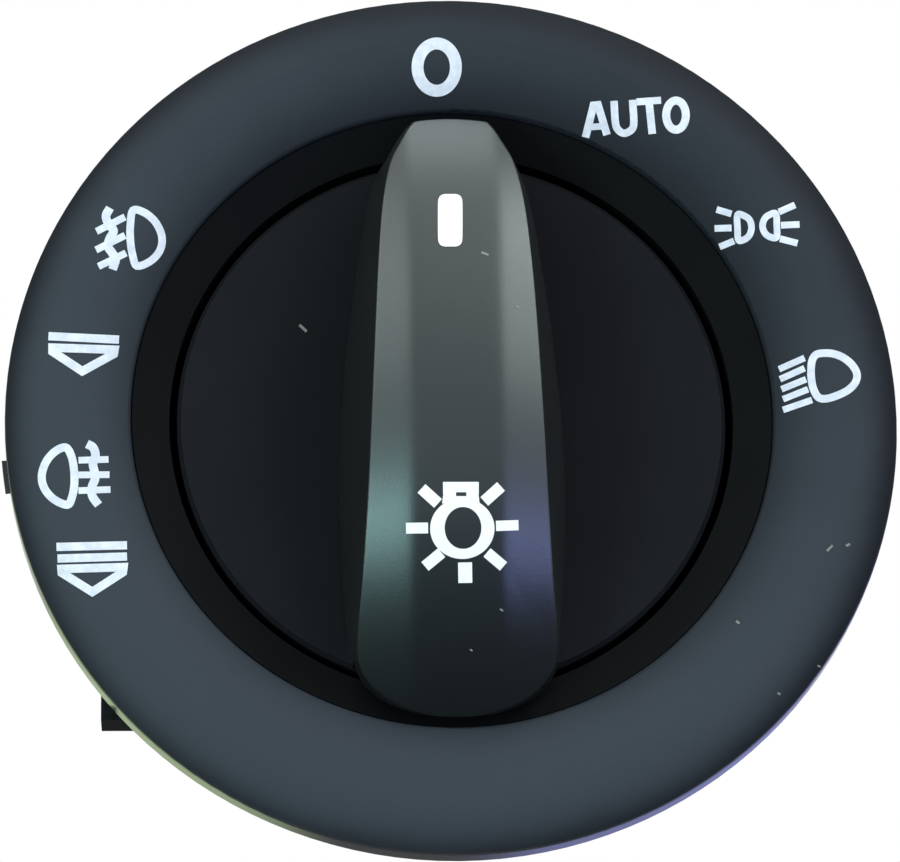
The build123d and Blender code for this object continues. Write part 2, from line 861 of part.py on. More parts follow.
# Pull wiper: flat spring in the carriage's side pocket, with a finger for each strip.
wiper_seat_x = -carriage_half_width + wiper_pocket
finger_crest_x = -tower_half_width + contact_gap + finger_thickness / 2
with BuildPart() as pull_wiper:
    with BuildSketch(Plane.YZ.offset(wiper_seat_x - wiper_thickness)):
        with Locations(((carriage_front + carriage_back) / 2, 0)):
            Rectangle(pull_wiper_width, pull_wiper_height)
            Rectangle(
                pull_wiper_width - 2 * pull_wiper_border,
                pull_wiper_height - 2 * pull_wiper_border,
                mode=Mode.SUBTRACT,
            )
    extrude(amount=wiper_thickness)
    for order in (-1, 0, 1):
        with BuildSketch(Plane.XY.offset(order * strip_pitch)):
            with BuildLine() as pull_finger_line:
                FilletPolyline(
                    (wiper_seat_x - wiper_thickness / 2, carriage_back - pull_wiper_border),
                    (finger_crest_x, (carriage_front + carriage_back) / 2),
                    (wiper_seat_x - 2 * wiper_thickness, carriage_front + pull_finger_end),
                    radius=2 * finger_thickness,
                )
            trace(pull_finger_line.line, line_width=finger_thickness)
        extrude(amount=finger_width / 2, both=True)

# Spindle: square shaft with a round journal and an end collar, bored for the light guide.
with BuildPart() as spindle:
    with BuildSketch(facing_driver(spindle_front)):
        RectangleRounded(spindle_width, spindle_width, spindle_corner)
    extrude(amount=-(journal_front - spindle_front))
    with BuildSketch(facing_driver(journal_front)):
        Circle(journal_radius)
    extrude(amount=-(collar_front - journal_front))
    with BuildSketch(facing_driver(collar_front)):
        Circle(end_collar_radius)
    extrude(amount=-end_collar_thickness)
    with BuildSketch(facing_driver(spindle_front)):
        Circle(spindle_bore_radius)
    extrude(amount=-(spindle_back - spindle_front), mode=Mode.SUBTRACT)


def grip_outline(inset, foot_share=1.0):
    """The grip's plan, drawn in by inset, and by less of it at the foot: a narrow top end with
    a flat face, sides that swell below the middle and a wide round foot."""
    foot_inset = inset * foot_share
    top_half_width = grip_top_half_width - inset * grip_top_inset_share
    with BuildSketch(mode=Mode.PRIVATE) as plan:
        with BuildLine():
            right_side = ThreePointArc(
                (grip_shoulder_half_width - inset, grip_shoulder_z),
                (grip_waist_half_width - inset, grip_waist_z),
                (grip_foot_half_width - foot_inset, grip_foot_z),
            )
            ThreePointArc(
                right_side @ 1,
                (0, grip_bottom_z + foot_inset),
                (-grip_foot_half_width + foot_inset, grip_foot_z),
            )
            ThreePointArc(
                (-grip_shoulder_half_width + inset, grip_shoulder_z),
                (-grip_waist_half_width + inset, grip_waist_z),
                (-grip_foot_half_width + foot_inset, grip_foot_z),
            )
            Polyline(
                right_side @ 0,
                (top_half_width, grip_top_z - inset),
                (-top_half_width, grip_top_z - inset),
                (-grip_shoulder_half_width + inset, grip_shoulder_z),
            )
        make_face()
        fillet(plan.vertices().group_by(Axis.Y)[-2], grip_shoulder_round - inset)
        fillet(plan.vertices().group_by(Axis.Y)[0], grip_foot_round - inset)
    return plan.sketch


def crown_section(inset, start):
    """The bow seen from the side, drawn in by inset: one arc, then a tighter one at the foot."""
    centre = crown_radius - grip_height
    turn = degrees(asin(lower_crown_start / crown_radius))
    shift = crown_radius - lower_crown_radius
    lower_centre = (centre - shift * cos(radians(turn)), -shift * sin(radians(turn)))
    with BuildSketch(Plane.YZ.offset(start)) as section:
        with BuildLine():
            bow = CenterArc((centre, 0), crown_radius - inset, 180 - bow_reach, bow_reach + turn)
            foot = CenterArc(
                lower_centre, lower_crown_radius - inset, 180 + turn, lower_bow_reach - turn
            )
            Polyline(
                bow @ 0,
                (spindle_back, (bow @ 0).Y),
                (spindle_back, (foot @ 1).Y),
                foot @ 1,
            )
        make_face()
    return section.sketch


def crown_form(inset):
    """The bow-shaped crown: a middle facet and a sloping facet along each side."""
    with BuildPart() as form:
        for side in (-1, 1):
            slope = (side, tan(radians(bevel_angle)), 0)
            for start, run, direction in (
                (0, facet_half_width, (side, 0, 0)),
                (side * facet_half_width, knob_radius, slope),
            ):
                extrude(crown_section(inset, start), amount=run, dir=direction)
    return form.part


def grip_form(inset):
    """The grip's outer form, drawn in by inset all round: drafted sides under the crown."""
    side_height = grip_height - inset - knob_edge_height + grip_overrun
    draft_inset = side_height * tan(radians(grip_draft))
    with BuildPart() as form:
        with BuildSketch(facing_driver(-knob_edge_height)):
            add(grip_outline(inset))
        with BuildSketch(facing_driver(-knob_edge_height - side_height)):
            add(grip_outline(inset + draft_inset, grip_foot_draft_share))
        loft(ruled=True)
        add(crown_form(inset), mode=Mode.INTERSECT)
    return form.part


# Knob grip: lacquered hollow bar. Drafted sides rise from the disc to the faceted crown, and
# both ends overhang the disc.
with BuildPart() as knob_grip:
    add(grip_form(0))
    add(
        ring_sector(
            knob_radius - grip_end_setback, bezel_radius, -grip_end_height, 0, 0, full_turn
        ),
        mode=Mode.SUBTRACT,
    )
    with BuildPart(mode=Mode.PRIVATE) as grip_core:
        add(grip_form(grip_wall))
        add(
            ring_sector(0, knob_radius - grip_wall, -grip_height, 0, 0, full_turn),
            mode=Mode.INTERSECT,
        )
    add(grip_core.part, mode=Mode.SUBTRACT)

    with BuildSketch(facing_driver(-knob_edge_height)):
        with Locations((0, pointer_offset)):
            SlotCenterToCenter(
                pointer_length - pointer_width,
                pointer_width + 2 * sliding_gap,
                rotation=90,
            )
    extrude(amount=grip_height, mode=Mode.SUBTRACT)

# Pointer window: white translucent insert, flush with the crown.
with BuildPart() as indicator_window:
    with BuildSketch(facing_driver(-knob_edge_height)):
        with Locations((0, pointer_offset)):
            SlotCenterToCenter(pointer_length - pointer_width, pointer_width, rotation=90)
    extrude(amount=grip_height)
    add(crown_form(0), mode=Mode.INTERSECT)
    add(crown_form(grip_wall), mode=Mode.SUBTRACT)

# Knob disc: two shallow finger hollows beside a level pad that carries the grip, with a
# skirt that runs in the collar and a boss that takes the spindle.
dish_floor_height = knob_edge_height - dish_depth
with BuildPart() as knob_dish:
    with BuildSketch(Plane.XY) as dish_section:
        with BuildLine():
            TangentArc(
                (0, -dish_floor_height),
                (knob_radius - knob_edge_round, -knob_edge_height),
                tangent=(1, 0),
            )
            Polyline(
                (knob_radius - knob_edge_round, -knob_edge_height),
                (knob_radius, -knob_edge_height + knob_edge_round),
                (knob_radius, skirt_depth),
                (knob_radius - skirt_wall, skirt_depth),
                (knob_radius - skirt_wall, knob_back_depth),
                (boss_radius, knob_back_depth),
                (boss_radius, skirt_depth),
                (0, skirt_depth),
                (0, -dish_floor_height),
            )
        make_face()
    revolve(axis=Axis.Y)
    with BuildPart(mode=Mode.PRIVATE) as grip_pad:
        with BuildSketch(facing_driver(knob_back_depth / 2)):
            add(grip_outline(0))
        extrude(amount=knob_back_depth / 2 + knob_edge_height)
        add(
            ring_sector(
                0, knob_radius - knob_edge_round, -grip_height, knob_back_depth, 0, full_turn
            ),
            mode=Mode.INTERSECT,
        )
    add(grip_pad.part)
    with BuildSketch(facing_driver(socket_floor_depth)):
        RectangleRounded(2 * bore_half_width, 2 * bore_half_width, spindle_corner)
        with Locations((bore_half_width, 0)):
            Rectangle(2 * clip_pocket, clip_leaf_width + 2 * assembly_gap)
    extrude(amount=-(skirt_depth - socket_floor_depth), mode=Mode.SUBTRACT)
    with BuildSketch(facing_driver(-knob_edge_height)):
        Circle(spindle_bore_radius)
    extrude(amount=-(knob_edge_height + socket_floor_depth), mode=Mode.SUBTRACT)

# Knob spring clip: bowed leaf in the socket that grips the spindle.
clip_pocket_x = bore_half_width + clip_pocket
with BuildPart() as knob_spring_clip:
    with BuildSketch(Plane.XY):
        with BuildLine() as bow_line:
            ThreePointArc(
                (clip_pocket_x - clip_leaf_thickness, spindle_front + loose_gap),
                (
                    bore_half_width + clip_leaf_thickness / 2,
                    (spindle_front + skirt_depth) / 2,
                ),
                (clip_pocket_x - clip_leaf_thickness, skirt_depth - loose_gap),
            )
        trace(bow_line.line, line_width=clip_leaf_thickness)
    extrude(amount=clip_leaf_width / 2, both=True)

# Knob light guide: rod through the spindle with a bar in the grip and a post to each window.
bar_front_height = knob_edge_height + assembly_gap + guide_bar_thickness
with BuildPart() as knob_light_guide:
    with BuildSketch(facing_driver(spindle_back - loose_gap)):
        Circle(light_rod_radius)
    extrude(amount=spindle_back - loose_gap + bar_front_height)
    with BuildSketch(facing_driver(-knob_edge_height - assembly_gap)):
        with Locations((0, (pointer_offset + symbol_offset) / 2)):
            Rectangle(guide_bar_width, pointer_offset - symbol_offset + guide_bar_width)
    extrude(amount=guide_bar_thickness)
    for window_z in (pointer_offset, symbol_offset):
        with BuildSketch(facing_driver(-knob_edge_height - assembly_gap)):
            with Locations((0, window_z)):
                Rectangle(guide_bar_width, guide_bar_width)
        extrude(amount=grip_height)
    add(crown_form(grip_wall + assembly_gap), mode=Mode.INTERSECT)


def panel_clip(angle):
    """A spring-steel V on a flat pad of the well, with its nose behind the panel's edge."""
    seat = clip_seat_radius + face_gap / 2 + clip_thickness / 2
    with BuildPart() as piece:
        with BuildSketch(Plane.XY.rotated((0, -angle, 0))):
            with BuildLine() as clip_line:
                FilletPolyline(
                    (seat, clip_front + loose_gap),
                    (seat, bulkhead_back - loose_gap),
                    (clip_reach - clip_thickness / 2, clip_tip_depth),
                    (clip_reach - clip_lead_in, clip_front),
                    radius=2 * clip_thickness,
                )
            trace(clip_line.line, line_width=clip_thickness)
        extrude(amount=clip_width / 2, both=True)
    return piece


# Panel clips: springs that centre the switch in its cut-out.
upper_panel_clip = panel_clip(clip_angles[0])
lower_panel_clip = panel_clip(clip_angles[1])

nodes = {
    "bezel": bezel,
    "recess_ring": recess_ring,
    "light_guide_ring": light_guide_ring,
    "front_housing": front_housing,
    "rear_cover": rear_cover,
    "circuit_board": circuit_board,
    "contact_tracks": contact_tracks,
    "leds": leds,
    "terminal_pins": terminal_pins,
    "detent_spring": detent_spring,
    "pull_detent_spring": pull_detent_spring,
    "pull_contacts": pull_contacts,
    "cover_screws": cover_screws,
    "upper_panel_clip": upper_panel_clip,
    "lower_panel_clip": lower_panel_clip,
    "rotor": rotor,
    "contact_wiper": contact_wiper,
    "rotor_clip": rotor_clip,
    "knob_dish": knob_dish,
    "knob_grip": knob_grip,
    "indicator_window": indicator_window,
    "knob_light_guide": knob_light_guide,
    "spindle": spindle,
    "knob_spring_clip": knob_spring_clip,
    "pull_carriage": pull_carriage,
    "pull_wiper": pull_wiper,
}
for name, node in nodes.items():
    node.part.label = name
    export_step(node.part, f"parts/{name}.step")
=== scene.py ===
from math import cos, hypot, pi, radians, sin, sqrt, tan

import bmesh
import bpy
from mathutils import Matrix, Vector


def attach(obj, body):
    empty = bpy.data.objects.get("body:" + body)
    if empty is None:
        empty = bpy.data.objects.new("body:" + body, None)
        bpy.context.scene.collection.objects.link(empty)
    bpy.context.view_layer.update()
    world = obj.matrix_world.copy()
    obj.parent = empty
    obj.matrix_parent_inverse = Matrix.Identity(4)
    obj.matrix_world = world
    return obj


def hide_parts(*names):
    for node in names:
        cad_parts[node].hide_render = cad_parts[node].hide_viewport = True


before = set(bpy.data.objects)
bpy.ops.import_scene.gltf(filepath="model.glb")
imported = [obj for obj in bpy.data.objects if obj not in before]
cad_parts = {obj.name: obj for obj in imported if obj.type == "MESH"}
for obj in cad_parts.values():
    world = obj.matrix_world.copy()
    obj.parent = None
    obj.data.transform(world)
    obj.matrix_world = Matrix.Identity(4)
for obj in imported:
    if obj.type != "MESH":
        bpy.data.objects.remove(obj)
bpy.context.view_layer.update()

# Camera. It stands on the driver's side, 17 degrees below the knob's axis and a little to the
# left of it, with a long lens. The picture is 900 by 862.
MM = 0.001
picture_middle = (450.0, 431.0)
focal_pixels = 5850.0
film_width = 36.0
camera_distance = 0.5
degrees_left = 2.35
degrees_below = 17.0
degrees_rolled = 0.7
view_shift = (-0.09, -0.38, 0.0)
camera_data = bpy.data.cameras.new("camera")
camera = bpy.data.objects.new("camera", camera_data)
bpy.context.scene.collection.objects.link(camera)
bpy.context.scene.camera = camera
bpy.context.scene.view_settings.view_transform = "Standard"
camera_data.sensor_width = film_width
camera_data.sensor_fit = "HORIZONTAL"
camera_data.lens = film_width * focal_pixels / (2 * picture_middle[0])
camera_data.clip_start = 0.01
camera_turn = (
    Matrix.Rotation(radians(-degrees_left), 4, "Z")
    @ Matrix.Rotation(radians(90.0 + degrees_below), 4, "X")
    @ Matrix.Rotation(radians(-degrees_rolled), 4, "Z")
)
aim = camera_turn @ Vector(view_shift) * MM
back_off = camera_turn @ Vector((0, 0, camera_distance))
camera.matrix_world = Matrix.Translation(aim + back_off) @ camera_turn


def seen(x, y, height_at):
    """The place on a face, in mm, that a point of the picture shows, found along its ray."""
    eye = camera.matrix_world.translation / MM
    ray = camera_turn @ Vector((x - picture_middle[0], picture_middle[1] - y, -focal_pixels))
    height = 4.0  # a first guess, mended in each round
    for _ in range(12):
        place = eye + ray * ((-height - eye.y) / ray.y)
        height = height_at(place.x, place.z)
    return Vector((place.x, place.z))


# Front housing and rear cover. Both are black glass-filled nylon, moulded dull, and lie out of
# sight behind the bezel. The glass shows as a faint mottle and a slightly rough skin.


class Wire:
    """A socket in a material. Sums written with it add the Math nodes that work them out."""

    def __init__(self, tree, socket=None):
        self.tree = tree
        self.socket = socket

    def node(self, kind, settings=None, inputs=None, output=0):
        """Adds a node from its type, its settings and what goes into its sockets."""
        new = self.tree.nodes.new("ShaderNode" + kind)
        for key, value in (settings or {}).items():
            setattr(new, key, value)
        for key, value in (inputs or {}).items():
            if isinstance(value, Wire):
                self.tree.links.new(value.socket, new.inputs[key])
            elif isinstance(value, tuple) and len(value) == 3 and new.inputs[key].type == "RGBA":
                new.inputs[key].default_value = (*value, 1)
            else:
                new.inputs[key].default_value = value
        return Wire(self.tree, new.outputs[output])

    def sum_of(self, operation, first, second):
        return self.node("Math", {"operation": operation}, {0: first, 1: second})

    def __add__(self, other):
        return self.sum_of("ADD", self, other)

    __radd__ = __add__

    def __sub__(self, other):
        return self.sum_of("SUBTRACT", self, other)

    def __rsub__(self, other):
        return self.sum_of("SUBTRACT", other, self)

    def __mul__(self, other):
        return self.sum_of("MULTIPLY", self, other)

    __rmul__ = __mul__

    def __truediv__(self, other):
        return self.sum_of("DIVIDE", self, other)

    def __pow__(self, other):
        return self.sum_of("POWER", self, other)

    def between(self, low, high):
        """0 below low, 1 above high, smooth between."""
        return self.node(
            "MapRange",
            {"interpolation_type": "SMOOTHSTEP"},
            {"Value": self, "From Min": low, "From Max": high},
        )

    def blend(self, dark, light):
        """A colour that goes from dark to light as this value goes from 0 to 1."""
        return self.node("Mix", {"data_type": "RGBA"}, {0: self, 6: dark, 7: light}, 2)

    def place(self):
        """Where a point of the surface lies, in the object's own coordinates."""
        return self.node("TexCoord", output=3)

    def noise(self, size, detail=2.0, rough=0.5, distortion=0.0):
        """Mottle whose lumps are about size millimetres wide, from 0 to 1."""
        return self.node(
            "TexNoise",
            {},
            {
                "Vector": self.place(),
                "Scale": 1 / (size * MM),
                "Detail": detail,
                "Roughness": rough,
                "Distortion": distortion,
            },
        )


def finish(name, constants, surface):
    """A material: constants go on the shader's own sockets, and surface feeds the rest."""
    material = bpy.data.materials.new(name)
    material.use_nodes = True
    tree = material.node_tree
    shader = tree.nodes["Principled BSDF"]
    for socket, value in constants.items():
        shader.inputs[socket].default_value = value
    for socket, wire in surface(Wire(tree)).items():
        tree.links.new(wire.socket, shader.inputs[socket])
    return material


def bump(wire, height, depth, strength):
    """The normal of a skin whose relief is height times depth millimetres."""
    return wire.node(
        "Bump", {}, {"Height": height, "Distance": depth * MM, "Strength": strength}
    )


def dress(material, *nodes):
    """Puts a material on CAD nodes, in place of the plain one that they come with."""
    for node in nodes:
        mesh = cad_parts[node].data
        mesh.materials.clear()
        mesh.materials.append(material)


def nylon_skin(wire):
    grain = wire.noise(0.25, 3.0)
    flow = wire.noise(6.0, 2.0, 0.6, 1.5)
    return {
        "Base Color": flow.between(0.35, 0.7).blend((0.005, 0.005, 0.006), (0.010, 0.010, 0.011)),
        "Roughness": 0.48 + grain * 0.2,
        "Normal": bump(wire, grain, 0.03, 0.6),
    }


nylon = finish("black_nylon", {"Specular IOR Level": 0.15}, nylon_skin)
dress(nylon, "front_housing", "rear_cover")

# Circuit board with its plated arcs, lamps and pins. Green solder mask on glass-fibre board;
# the arcs, strips and pins are plated and slightly scratched where the wipers run.


def mask_skin(wire):
    weave = wire.node(
        "TexWave",
        {"wave_type": "BANDS", "bands_direction": "X"},
        {"Vector": wire.place(), "Scale": 900.0, "Distortion": 1.0},
        1,
    )
    cloud = wire.noise(3.0)
    return {
        "Base Color": cloud.blend((0.008, 0.07, 0.03), (0.02, 0.12, 0.05)),
        "Roughness": 0.3 + cloud * 0.15,
        "Normal": bump(wire, weave, 0.01, 0.4),
    }


def plated_skin(dark, light):
    def skin(wire):
        scuff = wire.noise(0.5, 4.0, 0.7)
        return {
            "Base Color": scuff.between(0.3, 0.7).blend(dark, light),
            "Roughness": 0.25 + scuff * 0.25,
            "Normal": bump(wire, scuff, 0.01, 0.5),
        }

    return skin


def lamp_skin(wire):
    cloud = wire.noise(0.8)
    return {
        "Base Color": cloud.blend((0.62, 0.60, 0.45), (0.78, 0.76, 0.62)),
        "Roughness": 0.35 + cloud * 0.2,
    }


mask = finish("solder_mask", {}, mask_skin)
gilt = finish("plated_copper", {"Metallic": 1.0}, plated_skin((0.5, 0.36, 0.14), (0.62, 0.47, 0.2)))
tin = finish("tinned_brass", {"Metallic": 1.0}, plated_skin((0.5, 0.48, 0.42), (0.68, 0.66, 0.6)))
bronze = finish("bronze", {"Metallic": 1.0}, plated_skin((0.42, 0.24, 0.1), (0.56, 0.34, 0.16)))
lamp = finish("lamp_body", {}, lamp_skin)
dress(mask, "circuit_board")
dress(gilt, "contact_tracks")
dress(tin, "terminal_pins", "pull_contacts")
dress(bronze, "contact_wiper", "pull_wiper")
dress(lamp, "leds")

# Springs, clips and screws. Rolled spring steel, browned a little by its heat treatment, and
# zinc-plated pan heads.


def spring_skin(wire):
    drawn_out = wire.node("Mapping", {}, {"Vector": wire.place(), "Scale": (400.0, 6000.0, 400.0)})
    rolled = wire.node("TexNoise", {}, {"Vector": drawn_out, "Scale": 1.0, "Detail": 3.0})
    stain = wire.noise(2.5, 3.0, 0.6)
    return {
        "Base Color": stain.between(0.35, 0.68).blend((0.30, 0.26, 0.16), (0.46, 0.44, 0.39)),
        "Roughness": 0.28 + rolled * 0.2,
        "Normal": bump(wire, rolled, 0.01, 0.4),
    }


spring = finish("spring_steel", {"Metallic": 1.0}, spring_skin)
zinc = finish("zinc_plate", {"Metallic": 1.0}, plated_skin((0.5, 0.5, 0.47), (0.66, 0.66, 0.63)))
dress(
    spring,
    "detent_spring",
    "pull_detent_spring",
    "upper_panel_clip",
    "lower_panel_clip",
    "rotor_clip",
    "knob_spring_clip",
)
dress(zinc, "cover_screws")

# Rotor, spindle and pull carriage, which turn and slide on each other behind the knob. They are
# moulded in natural acetal, which is slippery, milky and a little waxy.


def acetal_skin(wire):
    cloud = wire.noise(4.0, 2.0)
    grain = wire.noise(0.3, 2.0)
    return {
        "Base Color": cloud.blend((0.54, 0.52, 0.45), (0.63, 0.61, 0.55)),
        "Roughness": 0.36 + cloud * 0.12,
        "Normal": bump(wire, grain, 0.01, 0.4),
    }


acetal = finish("natural_acetal", {}, acetal_skin)
dress(acetal, "rotor", "spindle", "pull_carriage")

# Light guides: the ring behind the marks and the bar and rod inside the knob. Moulded in clear
# acrylic, they carry the lamps' light to the marks and the pointer.


def clear_skin(wire):
    cloud = wire.noise(5.0, 2.0)
    return {
        "Base Color": cloud.blend((0.78, 0.82, 0.82), (0.86, 0.89, 0.89)),
        "Roughness": 0.08 + cloud * 0.08,
    }


clear = finish("clear_acrylic", {"Alpha": 0.45, "IOR": 1.49}, clear_skin)
dress(clear, "light_guide_ring", "knob_light_guide")

# Bezel. A moulded ring with a charcoal soft-touch coat: a fine even grain and a very soft sheen.
# Painted highlight and shade in its colour: lighter round the crown of the ring and towards the
# lower left, darker at the top and right. The wall of its rim is bare plastic, with more of a
# shine.
rim_radius = 38.0
crown_ring_radius = 33.5
# how far the painted highlight round the crown fades outwards and inwards, in mm
crown_highlight_fade_outwards = 3.9
crown_highlight_fade_inwards = 7.0


def soft_touch_skin(wire):
    grain = wire.noise(0.22, 4.0, 0.6)
    cloud = wire.noise(9.0, 3.0, 0.55)
    speck = wire.noise(0.55, 2.0, 0.5)
    place = wire.place()
    across, rise = (wire.node("SeparateXYZ", {}, {0: place}, axis) for axis in (0, 2))
    radius = (across**2 + rise**2) ** 0.5
    past = radius - crown_ring_radius * MM
    outward = wire.sum_of("MAXIMUM", past, 0.0) / (crown_highlight_fade_outwards * MM)
    inward = wire.sum_of("MINIMUM", past, 0.0) / (crown_highlight_fade_inwards * MM)
    # painted highlight: the colour is lighter round the crown, falling off inwards and outwards
    painted_crown_highlight = 1 - outward**2 - inward**2
    # painted light: the colour is lighter towards the lower left, darker at the top and right
    painted_lower_left_light = (across * 0.2 + rise * 0.42) / (-rim_radius * MM) - 0.05
    tone_and_painted_light = painted_crown_highlight * 0.75 + painted_lower_left_light + cloud * 0.3 + grain * 0.15
    return {
        "Base Color": tone_and_painted_light.between(0.0, 1.1).blend((0.014, 0.018, 0.024), (0.037, 0.047, 0.059)),
        "Roughness": 0.56 + grain * 0.14 + speck * 0.04,
        "Coat Weight": radius.between((rim_radius - 0.15) * MM, (rim_radius - 0.02) * MM),
        "Normal": bump(wire, grain, 0.035, 0.7),
    }


soft_touch = finish(
    "soft_touch_coat", {"Specular IOR Level": 0.12, "Coat Roughness": 0.15}, soft_touch_skin
)
dress(soft_touch, "bezel")

# Recess ring. The sunken slope between bezel and disc, with the collar in which the knob turns.
# Plain black plastic with a fine grain, dark all round.


def recess_skin(wire):
    grain = wire.noise(0.25, 3.0)
    cloud = wire.noise(7.0, 2.0)
    return {
        "Base Color": cloud.blend((0.0030, 0.0038, 0.0046), (0.0050, 0.0058, 0.0062)),
        "Roughness": 0.55 + grain * 0.15,
        "Normal": bump(wire, grain, 0.03, 0.5),
    }


recess_black = finish("recess_black", {"Specular IOR Level": 0.06}, recess_skin)
dress(recess_black, "recess_ring")

# Knob disc. The round foot of the knob, moulded with its skirt in black satin plastic and
# hollowed a little on both sides of the grip for the fingers.


def disc_skin(wire):
    grain = wire.noise(0.22, 3.0)
    cloud = wire.noise(8.0, 3.0)
    return {
        "Base Color": cloud.blend((0.0062, 0.0074, 0.0096), (0.0090, 0.0104, 0.0132)),
        "Roughness": 0.46 + grain * 0.14,
        "Normal": bump(wire, grain, 0.03, 0.5),
    }


disc_black = finish("disc_black", {"Specular IOR Level": 0.08}, disc_skin)
dress(disc_black, "knob_dish")

# Grip bar. One hollow moulding in satin charcoal lacquer. Its bow-shaped crown has a middle
# facet between two sloping ones, its sides are drafted, and both ends stand over the recess.
grip_height = 15.0
upper_bow = 41.27
lower_bow = 36.0
lower_bow_start = 8.0
facet_half_width = 3.75
facet_soft = 0.55
bevel_slope = tan(radians(16.0))
foot_height = 1.5
foot_sunk = 0.6
edge_round_size = 1.1
spine_share = 0.86
spine_ends = (-21.0, 21.5)
undercut_radius = 23.3
undercut_height = 4.1
grip_stations = (
    ((0.0, -27.2), (0.0, -26.6)),
    ((3.6, -26.8), (3.4, -26.2)),
    ((6.6, -25.5), (6.3, -24.9)),
    ((8.3, -23.2), (8.1, -22.9)),
    ((8.75, -20.5), (8.3, -20.3)),
    ((9.1, -15.8), (7.95, -16.3)),
    ((9.5, -7.5), (7.45, -9.0)),
    ((9.35, -0.5), (7.1, -2.0)),
    ((8.85, 6.0), (6.77, 5.0)),
    ((8.2, 11.5), (6.45, 11.0)),
    ((7.45, 17.0), (6.0, 16.6)),
    ((6.6, 21.2), (5.3, 20.7)),
    ((5.2, 24.4), (4.4, 23.0)),
    ((4.0, 26.2), (3.45, 25.0)),
    ((3.1, 26.5), (2.7, 25.55)),
    ((0.0, 26.6), (0.0, 25.8)),
)


def bow_height_at(z):
    """Height of the crown's spine: a long arc, then a tighter one towards the wide end."""
    if z >= -lower_bow_start:
        return sqrt(upper_bow**2 - z**2) - upper_bow + grip_height
    shift = upper_bow - lower_bow
    sine = lower_bow_start / upper_bow
    middle = upper_bow - grip_height - shift * sqrt(1 - sine**2)
    return sqrt(max(0.0, lower_bow**2 - (z + shift * sine) ** 2)) - middle


def crown_height_at(x, z):
    """Height of the crown: its spine's, falling past each soft facet line."""
    past = abs(x) - facet_half_width
    return bow_height_at(z) - bevel_slope * (past + sqrt(past**2 + facet_soft**2)) / 2


def smooth_line(points, steps):
    """A closed smooth line through points, with the same number of steps between each two."""
    total = len(points)
    line = []
    for index in range(total):
        a, b, c, d = (Vector(points[(index + shift) % total]) for shift in (-1, 0, 1, 2))
        for step in range(steps):
            t = step / steps
            line.append(
                b + (c - a) * (t / 2) + (a * 2 - b * 5 + c * 4 - d) * (t * t / 2)
                + (b * 3 - a - c * 3 + d) * (t**3 / 2)
            )
    return line


def grip_mesh():
    """Rings of points: up the drafted side, round the edge, then over the crown to its spine."""
    station_steps = 14
    wall_rows = 14
    crown_rows = 34
    outlines = []
    for level in (0, 1):
        right = [station[level] for station in grip_stations]
        left = [(-x, z) for x, z in right[-2:0:-1]]
        outlines.append(smooth_line(right + left, station_steps))
    shell = bmesh.new()
    rows = [[] for _ in range(wall_rows + crown_rows + 1)]
    for foot, edge in zip(*outlines):
        edge_height = crown_height_at(edge.x, edge.y)
        start_height = foot_height - foot_sunk
        for row in range(wall_rows + 1):
            height = start_height + (edge_height - start_height) * row / wall_rows
            place = foot.lerp(edge, (height - foot_height) / (edge_height - foot_height))
            rows[row].append(Vector((place.x, -height, place.y)))
        spine = Vector((0.0, max(spine_ends[0], min(spine_ends[1], edge.y * spine_share))))
        for row in range(1, crown_rows + 1):
            place = edge.lerp(spine, row / crown_rows)
            rows[wall_rows + row].append(
                Vector((place.x, -crown_height_at(place.x, place.y), place.y))
            )
    loops = [[shell.verts.new(place * MM) for place in row] for row in rows]
    total = len(loops[0])
    shell.faces.new(loops[0])
    for low, high in zip(loops, loops[1:]):
        for index in range(total):
            after = (index + 1) % total
            shell.faces.new((low[index], high[index], high[after], low[after]))
    bmesh.ops.remove_doubles(shell, verts=loops[-1], dist=0.02 * MM)
    bmesh.ops.recalc_face_normals(shell, faces=shell.faces)
    # The round of the edge grows from the long sides (the least share) towards both ends.
    least, more, grows_from, grows_over = 0.42, 0.2, 17.0, 6.0
    weight = shell.edges.layers.float.new("bevel_weight_edge")
    rim = set(loops[wall_rows])
    for edge in shell.edges:
        if edge.verts[0] in rim and edge.verts[1] in rim:
            out = abs(edge.verts[0].co.z) / MM
            edge[weight] = least + more * min(1.0, max(0.0, (out - grows_from) / grows_over))
    return shell


def as_object(name, shell, material):
    """A mesh object made from a bmesh, with its material."""
    mesh = bpy.data.meshes.new(name)
    shell.to_mesh(mesh)
    shell.free()
    mesh.materials.append(material)
    made = bpy.data.objects.new(name, mesh)
    bpy.context.scene.collection.objects.link(made)
    return made


def settle(made):
    """Applies a piece's modifiers and shades it smooth up to its real edges."""
    graph = bpy.context.evaluated_depsgraph_get()
    mesh = bpy.data.meshes.new_from_object(made.evaluated_get(graph))
    made.modifiers.clear()
    made.data = mesh
    mesh.polygons.foreach_set("use_smooth", [True] * len(mesh.polygons))
    mesh.set_sharp_from_angle(angle=radians(35.0))


def spun(name, section, material, steps):
    """A ring turned about the knob's axis from closed (radius, depth) points."""
    shell = bmesh.new()
    loops = []
    for step in range(steps):
        turn = 2 * pi * step / steps
        loops.append(
            [
                shell.verts.new((radius * cos(turn) * MM, depth * MM, radius * sin(turn) * MM))
                for radius, depth in section
            ]
        )
    for step in range(steps):
        here = loops[step]
        there = loops[(step + 1) % steps]
        for index in range(len(section)):
            after = (index + 1) % len(section)
            shell.faces.new((here[index], here[after], there[after], there[index]))
    bmesh.ops.recalc_face_normals(shell, faces=shell.faces)
    return as_object(name, shell, material)


def lacquer_skin(wire):
    grain = wire.noise(0.16, 3.0)
    cloud = wire.noise(7.0, 3.0)
    return {
        "Base Color": cloud.blend((0.0045, 0.0058, 0.0066), (0.0070, 0.0085, 0.0095)),
        "Roughness": 0.35 + grain * 0.08,
        "Normal": bump(wire, grain, 0.02, 0.5),
    }


